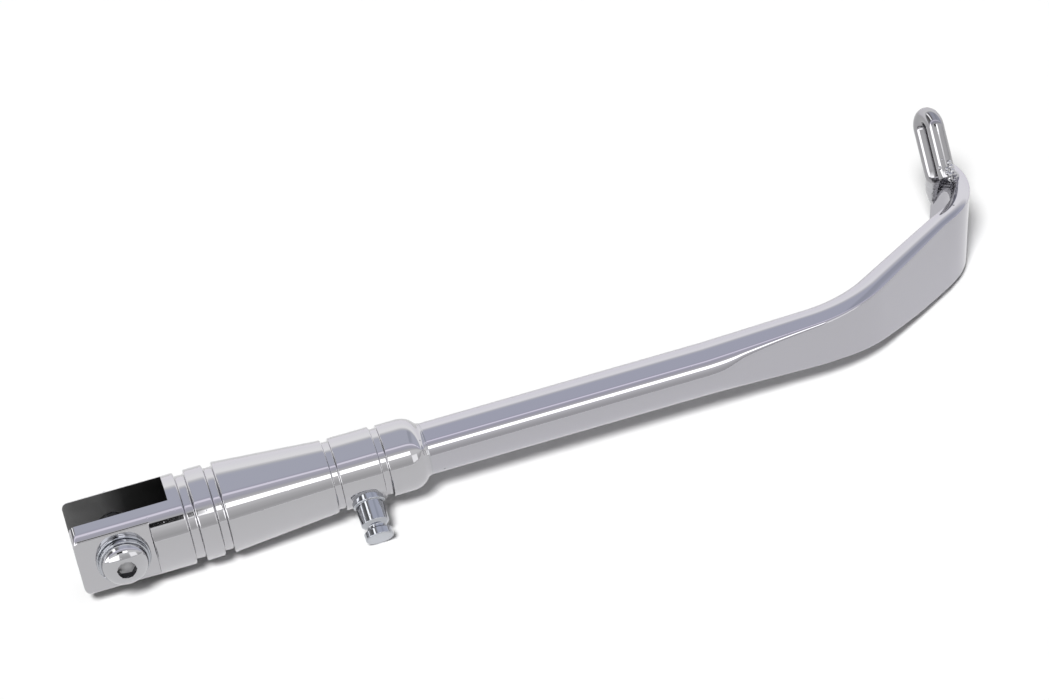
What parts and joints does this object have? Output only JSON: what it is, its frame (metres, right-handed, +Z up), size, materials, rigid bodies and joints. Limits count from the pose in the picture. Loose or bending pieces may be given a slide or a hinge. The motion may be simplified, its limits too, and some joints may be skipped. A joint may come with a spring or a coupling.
{
  "type": "motorcycle kickstand",
  "caption": "Forked kickstand leg with a flattened curved foot, a welded kick loop, a spring post and a pivot bolt through its fork.",
  "frame": {"origin": "where the pivot bolt's axis crosses the leg's axis, midway between the fork's ears", "axes": "+X down the leg towards the foot, +Y along the pivot bolt from its head to its nut, +Z up as the part lies on a table"},
  "size_m": [0.3375, 0.0981, 0.0513],
  "materials": {
    "chrome": "mirror chrome plate over polished steel",
    "braze": "chromed seam where the bar meets the nose",
    "zinc": "bright zinc plate, slightly blue",
    "weld": "chromed weld bead, lumpy",
    "bolt_steel": "polished chrome plate, worn in the socket"
  },
  "bodies": {
    "pivot": {"pivot_bolt": "bolt_steel", "lock_washer": "zinc", "flat_washer": "zinc", "jam_nut": "zinc"},
    "stand": {"fork_head": "chrome", "leg_bar": "chrome", "nose_braze_ring": "braze", "spring_post": "zinc", "kick_loop": "chrome", "upper_loop_weld": "weld", "lower_loop_weld": "weld"}
  },
  "joints": [
    {"name": "leg_swing", "type": "hinge", "parent": "pivot", "child": "stand", "pos_m": [0, 0, 0], "axis": [0, -1, 0], "range_deg": [0, 105]}
  ]
}
